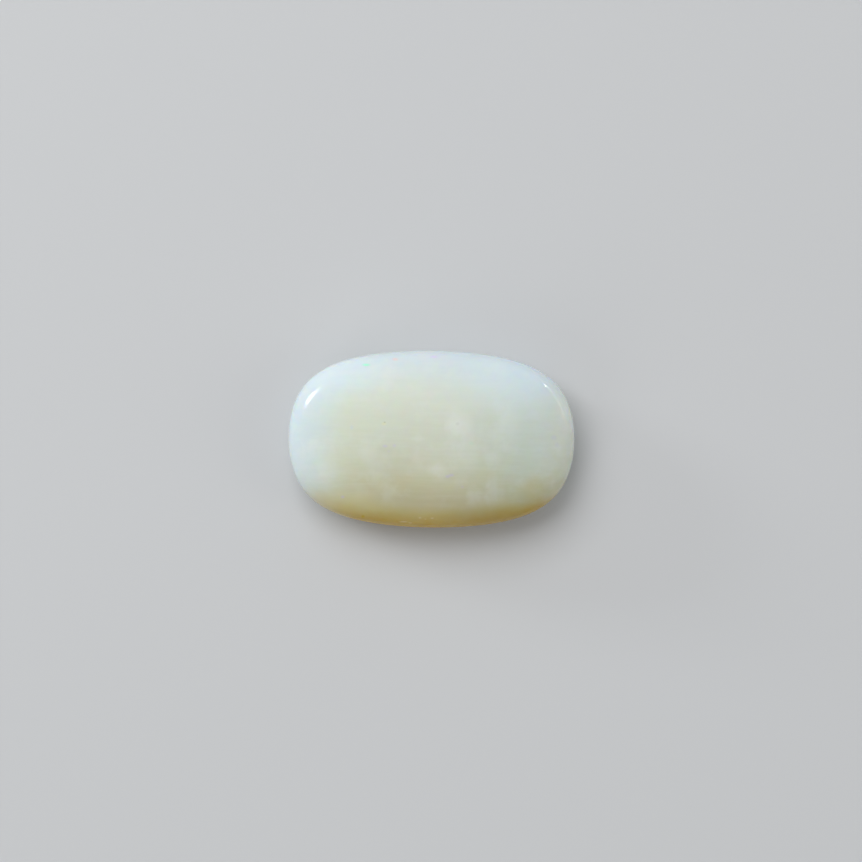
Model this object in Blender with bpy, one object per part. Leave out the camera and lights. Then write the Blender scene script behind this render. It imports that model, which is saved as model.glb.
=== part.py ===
"""A polished opal cabochon: one solid stone that lies on its flat back with the dome up.

Metres, +Z up. The origin is the centre of the flat back, on the surface that the stone
rests on. X runs along the stone and Y across it.
"""

import math

import bmesh
import bpy

# Driving dimensions, in metres
LENGTH = 0.0170  # along X
WIDTH = 0.01053  # along Y
HEIGHT = 0.0048  # from the flat back to the crown
GIRDLE_HEIGHT = 0.0020  # the height at which the stone is widest

# The flat back has the outline of the girdle, this much smaller
BACK_SHARE = 0.70

# The girdle is an oval with full shoulders: an ellipse with a little of its third harmonic
FULLNESS_ALONG = 0.0436
FULLNESS_ACROSS = 0.0386
# The cutter's hand left the two shoulders at +Y this much further out than those at -Y
KEYSTONE = 0.0023

# The dome's section is a superellipse, fuller at the end with the tighter shoulder:
# 2 is an ellipse, and more is squarer
CROWN_EXPONENT = 2.30
CROWN_EXPONENT_CHANGE = 0.17
TIGHT_SHOULDER_ANGLE = math.radians(15.0)

# Fineness of the mesh
STEPS_AROUND = 96
RINGS = 40

# The finish: milky, bluish to cream, and polished
OPAL_COLOUR = (0.66, 0.70, 0.58, 1.0)
OPAL_ROUGHNESS = 0.12
OPAL_IOR = 1.45


def clear_scene():
    for obj in list(bpy.data.objects):
        bpy.data.objects.remove(obj, do_unlink=True)


def girdle_point(angle):
    """(x, y) on the girdle; angle goes once round from +X, as in an ellipse's equation."""
    along = math.cos(angle) - FULLNESS_ALONG * math.cos(3 * angle) + KEYSTONE * math.sin(2 * angle)
    across = math.sin(angle) + FULLNESS_ACROSS * math.sin(3 * angle)
    return LENGTH / 2 * along / (1 - FULLNESS_ALONG), WIDTH / 2 * across / (1 - FULLNESS_ACROSS)


def crown_section(angle, turn):
    """(share of the girdle, height) on the dome; turn is 0 at the girdle and 90 degrees at the crown."""
    exponent = CROWN_EXPONENT + CROWN_EXPONENT_CHANGE * math.cos(angle - TIGHT_SHOULDER_ANGLE)
    share = max(math.cos(turn), 0.0) ** (2 / exponent)
    rise = math.sin(turn) ** (2 / exponent)
    return share, GIRDLE_HEIGHT + (HEIGHT - GIRDLE_HEIGHT) * rise


def underside_section(turn):
    """(share of the girdle, height) on a quarter ellipse; turn is 0 at the girdle and 90 degrees at the back."""
    return 1 - (1 - BACK_SHARE) * (1 - math.cos(turn)), GIRDLE_HEIGHT * (1 - math.sin(turn))


def shape_stone(mesh):
    """Moves the points of a unit sphere onto the stone and closes its lowest ring with one flat face."""
    lowest_ring = math.pi / 2 - math.pi / RINGS
    south_pole = min(mesh.verts, key=lambda vert: vert.co.z)
    bmesh.ops.delete(mesh, geom=[south_pole], context="VERTS")
    for vert in mesh.verts:
        angle = math.atan2(vert.co.y, vert.co.x)
        latitude = math.asin(max(-1.0, min(1.0, vert.co.z)))
        if latitude >= 0:
            share, height = crown_section(angle, latitude)
        else:
            share, height = underside_section(-latitude / lowest_ring * math.pi / 2)
        girdle_x, girdle_y = girdle_point(angle)
        vert.co = (share * girdle_x, share * girdle_y, height)
    back_edge = [edge for edge in mesh.edges if edge.is_boundary]
    for vert in {vert for edge in back_edge for vert in edge.verts}:
        vert.co.z = 0.0
    bmesh.ops.contextual_create(mesh, geom=back_edge)
    bmesh.ops.recalc_face_normals(mesh, faces=mesh.faces)


def opal_material():
    material = bpy.data.materials.new("milky_opal")
    material.use_nodes = True
    shader = material.node_tree.nodes["Principled BSDF"]
    shader.inputs["Base Color"].default_value = OPAL_COLOUR
    shader.inputs["Roughness"].default_value = OPAL_ROUGHNESS
    shader.inputs["Metallic"].default_value = 0.0
    shader.inputs["IOR"].default_value = OPAL_IOR
    return material


def make_stone(collection):
    mesh = bmesh.new()
    bmesh.ops.create_uvsphere(mesh, u_segments=STEPS_AROUND, v_segments=RINGS, radius=1.0)
    shape_stone(mesh)
    data = bpy.data.meshes.new("opal_cabochon")
    mesh.to_mesh(data)
    mesh.free()
    data.shade_smooth()
    data.materials.append(opal_material())
    collection.objects.link(bpy.data.objects.new("opal_cabochon", data))


def main():
    clear_scene()
    collection = bpy.data.collections.new("opal cabochon")
    bpy.context.scene.collection.children.link(collection)
    make_stone(collection)


main()
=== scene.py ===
"""The looks of a polished milky opal cabochon that lies on its flat back, seen from straight above.

Everything is in metres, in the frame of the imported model: X along the stone, Y across it, +Z up.
Places and sizes of the markings are in millimetres, in the same frame.
"""

import math

import bmesh
import bpy
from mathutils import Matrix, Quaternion, Vector


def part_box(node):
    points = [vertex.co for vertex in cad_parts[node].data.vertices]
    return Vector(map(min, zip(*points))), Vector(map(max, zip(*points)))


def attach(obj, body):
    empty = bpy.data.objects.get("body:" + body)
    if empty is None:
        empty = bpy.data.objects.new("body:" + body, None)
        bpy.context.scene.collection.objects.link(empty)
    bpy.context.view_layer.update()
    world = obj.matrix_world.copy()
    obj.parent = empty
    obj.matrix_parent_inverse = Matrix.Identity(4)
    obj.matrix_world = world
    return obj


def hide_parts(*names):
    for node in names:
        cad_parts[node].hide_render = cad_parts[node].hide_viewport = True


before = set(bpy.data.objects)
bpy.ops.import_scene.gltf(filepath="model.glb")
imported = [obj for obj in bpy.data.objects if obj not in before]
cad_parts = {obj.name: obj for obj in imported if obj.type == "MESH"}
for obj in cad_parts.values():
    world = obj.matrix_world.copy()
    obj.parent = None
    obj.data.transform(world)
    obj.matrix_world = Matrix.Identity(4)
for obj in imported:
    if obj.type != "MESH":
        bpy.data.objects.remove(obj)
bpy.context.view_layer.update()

NODE = "opal_cabochon"
MM = 0.001

# The stone's size comes from the frame
LOW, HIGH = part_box(NODE)
LENGTH = HIGH.x - LOW.x
WIDTH = HIGH.y - LOW.y
HEIGHT = HIGH.z

# The form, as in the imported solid
GIRDLE_HEIGHT = 2.0 / 4.8 * HEIGHT
BACK_SHARE = 0.70
FULLNESS_ALONG = 0.0436
FULLNESS_ACROSS = 0.0386
KEYSTONE = 0.0023
CROWN_EXPONENT = 2.30
CROWN_EXPONENT_CHANGE = 0.17
TIGHT_SHOULDER_ANGLE = math.radians(15.0)

# The same measures in millimetres, for the material
HALF_LENGTH_MM = LENGTH / 2 / MM
HALF_WIDTH_MM = WIDTH / 2 / MM
GIRDLE_MM = GIRDLE_HEIGHT / MM

# The fine mesh: squares along each edge of the cube that is rounded into the stone
SQUARES = 100
BACK_LATITUDE = math.radians(-60.0)  # below this latitude of the rounded cube lies the flat back

# The photograph's framing
FRAME_PIXELS = 862
STONE_PIXELS = 285.85  # length of the stone
STONE_RIGHT = 0.55  # pixels from the frame's centre to the stone's
STONE_BELOW = 8.23
STONE_TURN = math.radians(-0.68)  # of its long axis in the frame
LENS = 150.0
SENSOR = 36.0
NEAREST = 0.01  # the camera sees nothing closer than this
FARTHEST = 10  # or farther than this


def srgb(red, green, blue):
    """A linear colour, with alpha, from values of 0 to 255."""

    def linear(value):
        share = value / 255
        return share / 12.92 if share <= 0.04045 else ((share + 0.055) / 1.055) ** 2.4

    return (linear(red), linear(green), linear(blue), 1.0)


# The depth down the skin: the superellipse closest to the girdle says how near the rim a place is,
# and the drop from a little above the girdle to the back adds to it
RIM_EXPONENT = 2.6
DROP_START = GIRDLE_MM + 0.6
DROP_DEPTH = 0.9

# Noise moves the bands of colour sideways a little
BEND_SCALE = 0.22
BEND_REACH = 1.4

# The body's colour across the stone, partly its own milky colour and partly painted light: bluer and
# lighter towards +Y, where the light falls, and warmer towards -Y, away from it.
# (place from the long edge at -Y, 0, to the one at +Y, 1)
BODY_AND_PAINTED_LIGHT_STOPS = (
    (0.00, srgb(204, 198, 164)),
    (0.17, srgb(204, 200, 167)),
    (0.25, srgb(210, 209, 178)),
    (0.34, srgb(216, 219, 197)),
    (0.47, srgb(218, 223, 206)),
    (0.72, srgb(225, 231, 218)),
    (0.90, srgb(221, 231, 226)),
    (1.00, srgb(220, 227, 229)),
)

# What every colour is multiplied by along the stone, from the end at -X, 0, to the one at +X, 1.
# It is partly a tint and partly painted light and shade: darker at the end at -X and right of the
# middle, lighter and bluer at the end at +X
TINT_AND_PAINTED_LIGHT_ALONG = (
    (0.02, (0.95, 0.96, 0.97, 1.0)),
    (0.10, (0.96, 0.98, 0.99, 1.0)),
    (0.20, (0.96, 0.97, 0.96, 1.0)),
    (0.50, (0.975, 0.967, 0.973, 1.0)),
    (0.70, (0.91, 0.933, 0.95, 1.0)),
    (0.82, (0.885, 0.935, 0.995, 1.0)),
    (0.88, (0.915, 0.955, 1.03, 1.0)),
    (0.93, (0.95, 0.975, 1.02, 1.0)),
    (1.00, (1.00, 1.02, 1.08, 1.0)),
)

# The bluish veil round the rim, partly the rim's own bluish milk and partly a painted reflection of
# light from the end at -X and the side at +Y: the depths at which it starts and is full, how much it
# keeps to the end at -X and to the side at +Y, how softly it ends, and the Y between which it thins and
# how far
BLUE_RIM_AND_PAINTED_REFLECTION = srgb(218, 231, 236)
VEIL_DEPTHS = (0.56, 1.0)
VEIL_TO_END = -0.70
VEIL_TO_SIDE = 0.60
VEIL_SOFTNESS = 0.45
VEIL_THINNING = (-3.6, 0.0)
VEIL_THINNEST = 0.65

# The honey layer, partly the stone's own honey yellow and partly painted light: the warm yellow of light
# that has come through the stone to the edge at -Y, away from the lamps. (depth down the skin, colour)
HONEY_AND_TRANSMITTED_LIGHT_STOPS = (
    (0.70, srgb(208, 203, 166)),
    (0.84, srgb(207, 196, 140)),
    (0.93, srgb(203, 176, 84)),
    (0.98, srgb(197, 162, 38)),
    (1.20, srgb(195, 158, 52)),
    (1.60, srgb(198, 166, 84)),
)
HONEY_RANGE = (0.5, 1.7)  # the depths at the two ends of its ramp
HONEY_DEPTHS = (0.55, 0.85)  # the depths at which it starts and is full
HONEY_SIDE = (-2.8, -4.2)  # the same for Y
HONEY_THINNING = (-8.0, -4.2)  # between these X it grows from its thinnest, at -X, to full
HONEY_THINNEST = 0.25
HONEY_RAGGEDNESS = 0.012  # how far noise moves it up and down in depth

# Pale mottling, fine layers along the stone and a play of colour: the values of noise between which
# each comes in, and how strong it gets
MOTTLE_RANGE = (0.45, 0.75)
MOTTLE_SHARE = 0.30
LAYERS_RANGE = (0.35, 0.70)
LAYERS_SHARE = 0.12
LAYERS_STRETCH = (0.25, 3.2, 1.5)  # how fine they are along X, Y and Z
PLAY_SHARE = 0.035
CLOUD_WHITE = srgb(240, 244, 238)
NOISE_RANGE = (0.3, 0.7)  # nearly all the values of any noise lie between these

# A soft spot is full inside its core and fades out at its edge, both as shares of its half-sizes
SPOT_CORE = 0.2
CLOUD_EDGE = 1.4
GLINT_EDGE = 1.3
DOME_FADE = 0.2  # tones and glints fade out within this distance of the girdle's height

# Pale clouds and wisps inside: (x, y, half its width, half its height, strength)
CLOUDS = (
    (1.30, 0.95, 0.55, 0.75, 0.42),
    (1.90, 0.75, 0.60, 0.65, 0.32),
    (0.36, -1.85, 0.60, 0.65, 0.28),
    (-3.85, -0.82, 0.62, 0.62, 0.17),
    (4.50, 0.98, 0.80, 1.10, 0.28),
    (-0.76, 0.00, 0.45, 0.32, 0.22),
    (-0.90, -1.05, 0.40, 0.45, 0.16),
    (2.10, -0.95, 0.80, 0.90, 0.20),
    (3.60, -1.10, 0.50, 0.50, 0.25),
    (3.60, -3.40, 0.34, 1.50, 0.28),
    (2.30, -3.90, 0.42, 0.90, 0.22),
    (4.10, -3.30, 0.35, 1.00, 0.18),
    (-4.20, -3.55, 0.45, 0.80, 0.16),
    (-2.70, -3.60, 0.35, 0.90, 0.14),
    (5.45, -2.40, 0.45, 0.40, 0.22),
    (-6.20, -1.90, 0.60, 1.00, 0.14),
)

# Broad soft tones: a painted glow of light at the honey layer's pale end at -X, its darker stretch right
# of the middle and its end at +X, a painted bluish glow of light under the two shoulders at +Y, and a
# duller field left of the middle.
# Each is (x, y, half-length, half-width, colour, strength)
TONES_AND_PAINTED_GLOW = (
    (-5.05, -3.80, 2.75, 1.05, srgb(221, 219, 178), 0.34),
    (3.20, -4.60, 2.80, 0.80, srgb(160, 132, 84), 0.22),
    (6.05, -2.80, 0.95, 0.85, srgb(194, 183, 103), 0.34),
    (4.60, 3.50, 3.60, 2.00, srgb(230, 244, 255), 0.30),
    (-5.00, 3.80, 2.40, 1.40, srgb(230, 243, 255), 0.25),
    (-2.80, -1.40, 2.40, 1.10, srgb(190, 192, 165), 0.22),
)

# Glints of colour and specks: (x, y, half-length, half-width, colour, strength)
GLINTS = (
    (-3.90, 4.35, 0.26, 0.09, srgb(150, 250, 215), 0.7),
    (-2.20, 4.70, 0.20, 0.10, srgb(250, 205, 200), 0.5),
    (0.06, 4.88, 0.26, 0.10, srgb(222, 205, 250), 0.5),
    (-2.72, -0.43, 0.18, 0.10, srgb(205, 195, 245), 0.30),
    (-2.17, -0.39, 0.12, 0.11, srgb(205, 195, 245), 0.22),
    (-2.51, -0.73, 0.12, 0.09, srgb(205, 195, 240), 0.15),
    (0.98, -2.17, 0.16, 0.11, srgb(205, 195, 240), 0.36),
    (1.20, -2.09, 0.18, 0.10, srgb(205, 195, 240), 0.36),
    (1.85, -2.78, 0.12, 0.10, srgb(205, 195, 235), 0.25),
    (-5.20, -3.46, 0.13, 0.10, srgb(205, 195, 238), 0.45),
    (7.20, 0.20, 0.22, 0.18, srgb(200, 205, 242), 0.20),
    (7.41, -0.24, 0.16, 0.18, srgb(200, 205, 242), 0.16),
    (-4.70, 0.64, 0.11, 0.16, srgb(195, 215, 245), 0.22),
    (-4.00, -4.62, 0.13, 0.11, srgb(196, 166, 10), 0.80),
    (-2.80, 0.88, 0.17, 0.12, srgb(240, 235, 175), 0.34),
    (-2.76, 0.97, 0.07, 0.05, srgb(140, 140, 105), 0.35),
    (1.52, 0.93, 0.14, 0.11, srgb(178, 185, 178), 0.20),
    (2.33, -0.20, 0.18, 0.13, srgb(185, 228, 212), 0.20),
    (-1.60, -4.90, 0.28, 0.05, srgb(240, 230, 195), 0.45),
    (-1.20, -4.96, 0.14, 0.04, srgb(240, 230, 195), 0.35),
    (-0.62, -4.64, 0.10, 0.07, srgb(236, 230, 205), 0.30),
    (-0.30, -4.72, 0.07, 0.05, srgb(236, 230, 205), 0.25),
    (0.10, -4.66, 0.12, 0.06, srgb(236, 230, 205), 0.30),
)

# The skin's relief, in millimetres: the waves of a hand polish, its fine peel, and lapping lines
WAVE_HEIGHT = 0.011
PEEL_HEIGHT = 0.0008
LAPPING_HEIGHT = 0.010
LAPPING_STRETCH = (0.6, 9.0, 0.0)  # how fine they are along X, Y and Z

# The finish: the ground back starts and is full at these heights, in millimetres
BACK_HEIGHTS = (0.05, 0.01)
POLISH_ROUGHNESS = (0.09, 0.15)
BACK_ROUGHNESS = 0.30  # added to the polish's
OPAL_IOR = 1.45
SCATTER_SCALE = 0.0008  # how far light goes into the stone
SCATTER_RADIUS = (1.0, 0.7, 0.4)  # the shares of that for red, green and blue

# The surroundings
FLOOR_SIZE = 4.0
FLOOR_COLOUR = (0.64, 0.65, 0.66, 1)
FLOOR_ROUGHNESS = 0.6
SKY_COLOUR = (0.98, 0.99, 1.0, 1)
SKY_STRENGTHS = (0.31, 0.35)  # towards -Y and towards +Y
SKY_SPAN = 0.9  # a direction's share of Y at which it has that strength

# Lamps: (name, azimuth, elevation, distance, (length, width), radiance, colour, roll), angles in degrees
WHITE = (1, 1, 1)
COOL = (0.95, 0.98, 1.0)
SOFT_LAMPS = (
    ("key_softbox", 124, 56, 0.6, (0.5, 0.4), 3.38, WHITE, 0),
    ("right_fill", -10, 30, 0.6, (0.3, 0.3), 1.3, WHITE, 0),
    ("left_fill", 228, 30, 0.6, (0.3, 0.3), 1.2, WHITE, 0),
)
# The polish mirrors these, as the small highlights on the two shoulders
MIRRORED_LAMPS = (
    ("left_lamp", 152, 15, 0.25, (0.074, 0.042), 12.0, COOL, -20),
    ("left_lamp_edge", 152, 14, 0.24, (0.130, 0.020), 2.0, COOL, -20),
    ("right_lamp", 45, 3.2, 0.25, (0.026, 0.018), 14.0, WHITE, 0),
    ("right_strip", 26, 3.5, 0.26, (0.155, 0.020), 2.3, COOL, 0),
)


def girdle_point(angle):
    """(x, y) on the girdle; angle goes once round from +X, as in an ellipse's equation."""
    along = math.cos(angle) - FULLNESS_ALONG * math.cos(3 * angle) + KEYSTONE * math.sin(2 * angle)
    across = math.sin(angle) + FULLNESS_ACROSS * math.sin(3 * angle)
    return LENGTH / 2 * along / (1 - FULLNESS_ALONG), WIDTH / 2 * across / (1 - FULLNESS_ACROSS)


def crown_section(angle, turn):
    """(share of the girdle, height) on the dome; turn is 0 at the girdle and 90 degrees at the crown."""
    exponent = CROWN_EXPONENT + CROWN_EXPONENT_CHANGE * math.cos(angle - TIGHT_SHOULDER_ANGLE)
    share = max(math.cos(turn), 0.0) ** (2 / exponent)
    rise = math.sin(turn) ** (2 / exponent)
    return share, GIRDLE_HEIGHT + (HEIGHT - GIRDLE_HEIGHT) * rise


def underside_section(turn):
    """(share of the girdle, height) under it; turn is 0 at the girdle and 90 degrees at the back."""
    return 1 - (1 - BACK_SHARE) * (1 - math.cos(turn)), GIRDLE_HEIGHT * (1 - math.sin(turn))


def stone_point(angle, latitude):
    """The point of the stone's skin for a direction on a unit sphere."""
    if latitude >= 0:
        share, height = crown_section(angle, latitude)
    elif latitude > BACK_LATITUDE:
        share, height = underside_section(latitude / BACK_LATITUDE * math.pi / 2)
    else:
        inward = (latitude - BACK_LATITUDE) / (-math.pi / 2 - BACK_LATITUDE)
        share, height = BACK_SHARE * (1 - inward), 0.0
    girdle_x, girdle_y = girdle_point(angle)
    return Vector((share * girdle_x, share * girdle_y, height))


def make_stone():
    """A cube of fine squares rounded into the stone's form, so that no point gathers thin triangles."""
    mesh = bmesh.new()
    bmesh.ops.create_cube(mesh, size=2.0)
    bmesh.ops.subdivide_edges(mesh, edges=mesh.edges, cuts=SQUARES - 1, use_grid_fill=True)
    for vert in mesh.verts:
        # Equal angles, so that the squares stay alike in size
        even = Vector([math.tan(part * math.pi / 4) for part in vert.co]).normalized()
        angle = math.atan2(even.y, even.x)
        vert.co = stone_point(angle, math.asin(max(-1.0, min(1.0, even.z))))
    bmesh.ops.recalc_face_normals(mesh, faces=mesh.faces)
    data = bpy.data.meshes.new("polished_opal")
    mesh.to_mesh(data)
    mesh.free()
    data.shade_smooth()
    stone = bpy.data.objects.new("polished_opal", data)
    bpy.context.scene.collection.objects.link(stone)
    return stone


class Nodes:
    """Makes shader nodes in one tree. Each input is a value or the output of another node."""

    def __init__(self, tree):
        self.tree = tree

    def feed(self, socket, value):
        if isinstance(value, bpy.types.NodeSocket):
            self.tree.links.new(value, socket)
        else:
            socket.default_value = value

    def make(self, kind, settings=None, inputs=None):
        node = self.tree.nodes.new(kind)
        for name, value in (settings or {}).items():
            setattr(node, name, value)
        for name, value in (inputs or {}).items():
            self.feed(node.inputs[name], value)
        return node

    def math(self, operation, *values):
        node = self.make("ShaderNodeMath", {"operation": operation})
        for socket, value in zip(node.inputs, values):
            self.feed(socket, value)
        return node.outputs["Value"]

    def vector(self, operation, *values):
        node = self.make("ShaderNodeVectorMath", {"operation": operation})
        for socket, value in zip(node.inputs, values):
            self.feed(socket, value)
        return node.outputs["Value" if operation == "LENGTH" else "Vector"]

    def parts(self, vector):
        """The x, y and z of a vector."""
        return self.make("ShaderNodeSeparateXYZ", inputs={"Vector": vector}).outputs

    def spread(self, value, start, end, low=0.0, high=1.0, kind="SMOOTHSTEP"):
        """Goes from low, where value is start, to high, where it is end."""
        node = self.make("ShaderNodeMapRange", {"interpolation_type": kind})
        names = ("Value", "From Min", "From Max", "To Min", "To Max")
        for name, given in zip(names, (value, start, end, low, high)):
            self.feed(node.inputs[name], given)
        return node.outputs["Result"]

    def mix(self, share, first, second, blend="MIX"):
        """Goes from the first colour to the second, blended with it, as share goes from 0 to 1."""
        node = self.make("ShaderNodeMixRGB", {"blend_type": blend})
        for name, given in (("Fac", share), ("Color1", first), ("Color2", second)):
            self.feed(node.inputs[name], given)
        return node.outputs["Color"]

    def ramp(self, value, stops):
        node = self.make("ShaderNodeValToRGB", inputs={"Fac": value})
        elements = node.color_ramp.elements
        elements.remove(elements[-1])
        elements[0].position, elements[0].color = stops[0]
        for place, colour in stops[1:]:
            elements.new(place).color = colour
        return node.outputs["Color"]

    def noise(self, place, scale, detail=3.0, roughness=0.5, output="Fac"):
        inputs = {"Vector": place, "Scale": scale, "Detail": detail, "Roughness": roughness}
        return self.make("ShaderNodeTexNoise", inputs=inputs).outputs[output]

    def warp(self, place, scale, reach):
        """The place moved sideways by noise, by up to about half of reach."""
        shift = self.noise(place, scale, detail=2.0, output="Color")
        shift = self.vector("SUBTRACT", shift, (0.5, 0.5, 0.5))
        return self.vector("ADD", place, self.vector("MULTIPLY", shift, (reach, reach, 0.0)))


def layer_depth(nodes, x, y, z):
    """How far down the skin: 0 at the crown, 1.1 at the girdle and 1.6 at the edge of the back."""
    powers = []
    for value, half in ((x, HALF_LENGTH_MM), (y, HALF_WIDTH_MM)):
        size = nodes.math("ABSOLUTE", nodes.math("DIVIDE", value, half))
        powers.append(nodes.math("POWER", size, RIM_EXPONENT))
    out = nodes.math("POWER", nodes.math("ADD", *powers), 1 / RIM_EXPONENT)
    drop = nodes.spread(z, DROP_START, 0.0, high=DROP_DEPTH)
    return nodes.math("ADD", out, drop)


def oval(nodes, place, centre, half_sizes, edge, strength):
    """A soft spot seen from above: its strength at the middle and nothing beyond edge half-sizes."""
    off = nodes.vector("SUBTRACT", place, (*centre, 0))
    off = nodes.vector("MULTIPLY", off, (1 / half_sizes[0], 1 / half_sizes[1], 0))
    return nodes.spread(nodes.vector("LENGTH", off), edge, SPOT_CORE, high=strength)


def body_and_painted_light(nodes, bent_x, bent_y, depth):
    """The milky body, cream at -Y to bluish white at +Y, and the veil round the rim at -X and +Y. Both
    are partly painted light: lighter and bluer where the light falls, and the veil partly a painted
    reflection.
    """
    colour = nodes.ramp(nodes.spread(bent_y, -HALF_WIDTH_MM, HALF_WIDTH_MM, kind="LINEAR"), BODY_AND_PAINTED_LIGHT_STOPS)
    toward = nodes.math(
        "ADD",
        nodes.math("MULTIPLY", bent_x, VEIL_TO_END / HALF_LENGTH_MM),
        nodes.math("MULTIPLY", bent_y, VEIL_TO_SIDE / HALF_WIDTH_MM),
    )
    rim_and_reflection = nodes.math(
        "MULTIPLY",
        nodes.spread(depth, *VEIL_DEPTHS),
        nodes.spread(toward, -VEIL_SOFTNESS, VEIL_SOFTNESS),
    )
    rim_and_reflection = nodes.math("MULTIPLY", rim_and_reflection, nodes.spread(bent_y, *VEIL_THINNING, low=VEIL_THINNEST))
    return nodes.mix(rim_and_reflection, colour, BLUE_RIM_AND_PAINTED_REFLECTION)


def markings(nodes, place, colour):
    """Mottling, fine layers along the stone, clouds and a faint play of colour."""
    mottle = nodes.noise(place, scale=0.55, detail=4.0, roughness=0.55)
    colour = nodes.mix(nodes.spread(mottle, *MOTTLE_RANGE, high=MOTTLE_SHARE), colour, CLOUD_WHITE)
    drawn = nodes.vector("MULTIPLY", place, LAYERS_STRETCH)
    layers = nodes.noise(drawn, scale=1.0, roughness=0.6)
    colour = nodes.mix(nodes.spread(layers, *LAYERS_RANGE, high=LAYERS_SHARE), colour, CLOUD_WHITE)
    ragged = nodes.warp(place, scale=1.1, reach=1.1)
    for x, y, half_wide, half_high, strength in CLOUDS:
        near = oval(nodes, ragged, (x, y), (half_wide, half_high), CLOUD_EDGE, strength)
        colour = nodes.mix(near, colour, CLOUD_WHITE)
    play = nodes.noise(place, scale=1.3, detail=2.0, output="Color")
    return nodes.mix(PLAY_SHARE, colour, play, "OVERLAY")


def honey_and_transmitted_light(nodes, place, x, bent_y, depth, colour):
    """The honey yellow layer along the long edge at -Y, over the colour so far. It is partly painted
    light: the warm yellow of light that has come through the stone.
    """
    shift = nodes.noise(place, scale=0.8)
    shift = nodes.spread(shift, *NOISE_RANGE, -HONEY_RAGGEDNESS, HONEY_RAGGEDNESS)
    ragged_depth = nodes.math("ADD", depth, shift)
    side = nodes.spread(bent_y, *HONEY_SIDE)
    side = nodes.math("MULTIPLY", side, nodes.spread(x, *HONEY_THINNING, low=HONEY_THINNEST))
    share = nodes.math("MULTIPLY", nodes.spread(ragged_depth, *HONEY_DEPTHS), side)
    low, high = HONEY_RANGE
    stops = [((stop - low) / (high - low), tint) for stop, tint in HONEY_AND_TRANSMITTED_LIGHT_STOPS]
    honey_and_light = nodes.ramp(nodes.spread(ragged_depth, low, high, kind="LINEAR"), stops)
    return nodes.mix(share, colour, honey_and_light)


def tint_and_painted_light_along(nodes, bent_x, colour):
    """The colour so far, a little darker or bluer from place to place along the stone: partly a tint,
    partly painted light and shade.
    """
    along = nodes.spread(bent_x, -HALF_LENGTH_MM, HALF_LENGTH_MM, kind="LINEAR")
    return nodes.mix(1.0, colour, nodes.ramp(along, TINT_AND_PAINTED_LIGHT_ALONG), "MULTIPLY")


def tones_painted_glow_and_glints(nodes, place, z, colour):
    """The broad tones, some of them painted glows of light, then the glints and specks, all on the dome
    alone.
    """
    dome = nodes.spread(z, GIRDLE_MM - DOME_FADE, GIRDLE_MM + DOME_FADE)
    for x, y, half_long, half_wide, tint, strength in TONES_AND_PAINTED_GLOW + GLINTS:
        near = oval(nodes, place, (x, y), (half_long, half_wide), GLINT_EDGE, strength)
        colour = nodes.mix(nodes.math("MULTIPLY", near, dome), colour, tint)
    return colour


def skin_height(nodes, place, back):
    """The skin's relief in millimetres: a hand polish that undulates, and lapping lines on the back."""
    wave = nodes.noise(place, scale=0.7, detail=1.0, roughness=0.4)
    peel = nodes.noise(place, scale=5.0, detail=2.0)
    polish = nodes.math(
        "ADD",
        nodes.math("MULTIPLY", wave, WAVE_HEIGHT),
        nodes.math("MULTIPLY", peel, PEEL_HEIGHT),
    )
    drawn = nodes.vector("MULTIPLY", place, LAPPING_STRETCH)
    lines = nodes.noise(drawn, scale=1.0, detail=4.0, roughness=0.7)
    lines = nodes.math("MULTIPLY", lines, nodes.math("MULTIPLY", back, LAPPING_HEIGHT))
    return nodes.math("ADD", polish, lines)


def skin_roughness(nodes, place, back):
    """A polish that is a little uneven, and the matte back."""
    worn = nodes.noise(place, scale=2.2, roughness=0.6)
    worn = nodes.spread(worn, *NOISE_RANGE, *POLISH_ROUGHNESS)
    return nodes.math("ADD", worn, nodes.math("MULTIPLY", back, BACK_ROUGHNESS))


def opal_material():
    material = bpy.data.materials.new("milky_opal")
    material.use_nodes = True
    tree = material.node_tree
    shader = tree.nodes["Principled BSDF"]
    nodes = Nodes(tree)

    in_metres = nodes.make("ShaderNodeTexCoord").outputs["Object"]
    place = nodes.vector("MULTIPLY", in_metres, (1 / MM, 1 / MM, 1 / MM))
    x, y, z = nodes.parts(place)
    bent_x, bent_y, _ = nodes.parts(nodes.warp(place, BEND_SCALE, BEND_REACH))
    depth = layer_depth(nodes, x, y, z)
    back = nodes.spread(z, *BACK_HEIGHTS)

    # The body, its veil, the honey layer, the multiplier along the stone and some of the tones are
    # partly painted light and shade
    colour = body_and_painted_light(nodes, bent_x, bent_y, depth)
    colour = markings(nodes, place, colour)
    colour = honey_and_transmitted_light(nodes, place, x, bent_y, depth, colour)
    colour = tint_and_painted_light_along(nodes, bent_x, colour)
    colour = tones_painted_glow_and_glints(nodes, place, z, colour)
    relief = {"Distance": MM, "Height": skin_height(nodes, place, back)}
    bump = nodes.make("ShaderNodeBump", inputs=relief)

    nodes.feed(shader.inputs["Base Color"], colour)
    nodes.feed(shader.inputs["Roughness"], skin_roughness(nodes, place, back))
    nodes.feed(shader.inputs["Normal"], bump.outputs["Normal"])
    shader.inputs["IOR"].default_value = OPAL_IOR
    shader.inputs["Subsurface Weight"].default_value = 1.0
    shader.inputs["Subsurface Radius"].default_value = SCATTER_RADIUS
    shader.inputs["Subsurface Scale"].default_value = SCATTER_SCALE
    return material


def make_floor():
    bpy.ops.mesh.primitive_plane_add(size=FLOOR_SIZE, location=(0, 0, 0))
    floor = bpy.context.object
    floor.name = "floor"
    material = bpy.data.materials.new("pale_floor")
    material.use_nodes = True
    shader = material.node_tree.nodes["Principled BSDF"]
    shader.inputs["Base Color"].default_value = FLOOR_COLOUR
    shader.inputs["Roughness"].default_value = FLOOR_ROUGHNESS
    floor.data.materials.append(material)


def direction(azimuth, elevation):
    """A unit vector; azimuth runs from +X towards +Y, in degrees, and elevation is above the floor."""
    azimuth, elevation = math.radians(azimuth), math.radians(elevation)
    return Vector(
        (
            math.cos(elevation) * math.cos(azimuth),
            math.cos(elevation) * math.sin(azimuth),
            math.sin(elevation),
        )
    )


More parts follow.
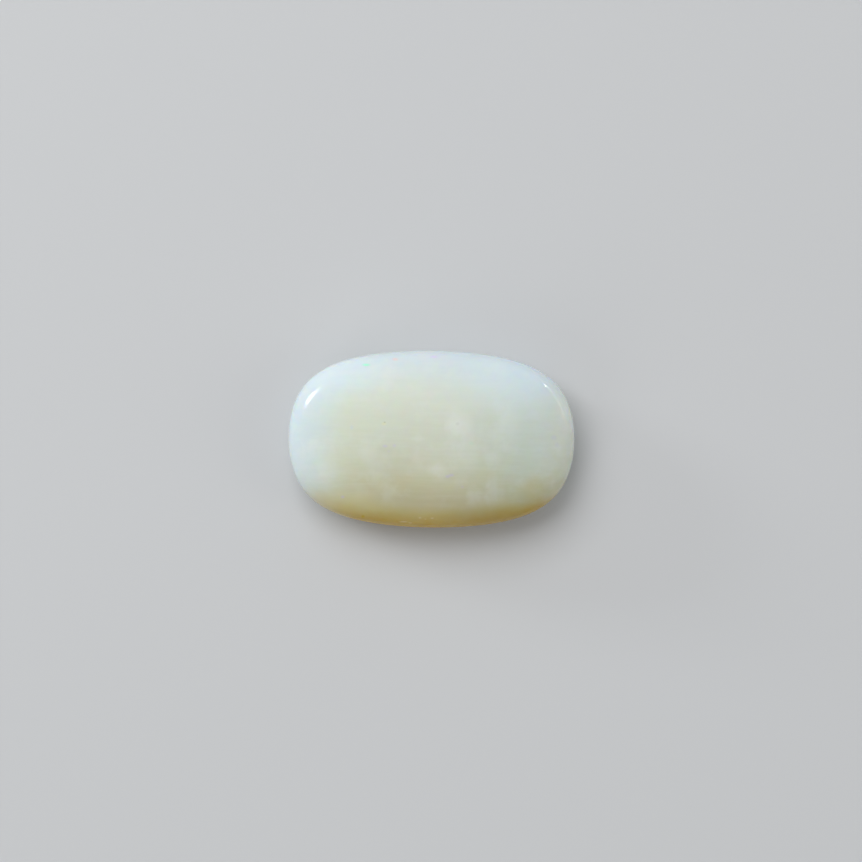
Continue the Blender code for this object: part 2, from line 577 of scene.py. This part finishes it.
def add_lamp(name, azimuth, elevation, distance, size, radiance, colour, roll, mirrored):
    """A rectangular soft lamp that faces the stone; its long side lies level but for the roll."""
    lamp = bpy.data.lights.new(name, "AREA")
    lamp.shape = "RECTANGLE"
    lamp.size, lamp.size_y = size
    lamp.energy = radiance * math.pi * size[0] * size[1]
    lamp.color = colour
    toward = direction(azimuth, elevation)
    panel = bpy.data.objects.new(name, lamp)
    panel.location = toward * distance
    panel.rotation_mode = "QUATERNION"
    facing = (-toward).to_track_quat("-Z", "Y")
    panel.rotation_quaternion = facing @ Quaternion((0, 0, 1), math.radians(roll))
    panel.visible_camera = False
    panel.visible_glossy = mirrored
    bpy.context.scene.collection.objects.link(panel)


def make_lamps():
    for lamp in SOFT_LAMPS:
        add_lamp(*lamp, mirrored=False)
    for lamp in MIRRORED_LAMPS:
        add_lamp(*lamp, mirrored=True)


def make_sky():
    """An even pale light from all round, a little stronger from +Y."""
    world = bpy.data.worlds.new("studio")
    world.use_nodes = True
    nodes = Nodes(world.node_tree)
    _, toward_y, _ = nodes.parts(nodes.make("ShaderNodeTexCoord").outputs["Generated"])
    background = world.node_tree.nodes["Background"]
    background.inputs["Color"].default_value = SKY_COLOUR
    strength = nodes.spread(toward_y, -SKY_SPAN, SKY_SPAN, *SKY_STRENGTHS)
    nodes.feed(background.inputs["Strength"], strength)
    bpy.context.scene.world = world


def make_camera():
    data = bpy.data.cameras.new("camera")
    data.lens = LENS
    data.sensor_width = SENSOR
    data.clip_start = NEAREST
    data.clip_end = FARTHEST
    per_pixel = LENGTH / STONE_PIXELS
    distance = per_pixel * FRAME_PIXELS * LENS / SENSOR
    camera = bpy.data.objects.new("camera", data)
    camera.location = (-STONE_RIGHT * per_pixel, STONE_BELOW * per_pixel, GIRDLE_HEIGHT + distance)
    camera.rotation_euler = (0, 0, -STONE_TURN)
    bpy.context.scene.collection.objects.link(camera)
    bpy.context.scene.camera = camera


def main():
    bpy.context.scene.view_settings.view_transform = "Standard"
    make_camera()
    stone = make_stone()
    stone.data.materials.append(opal_material())
    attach(stone, "root")
    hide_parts(NODE)
    make_floor()
    make_lamps()
    make_sky()


main()
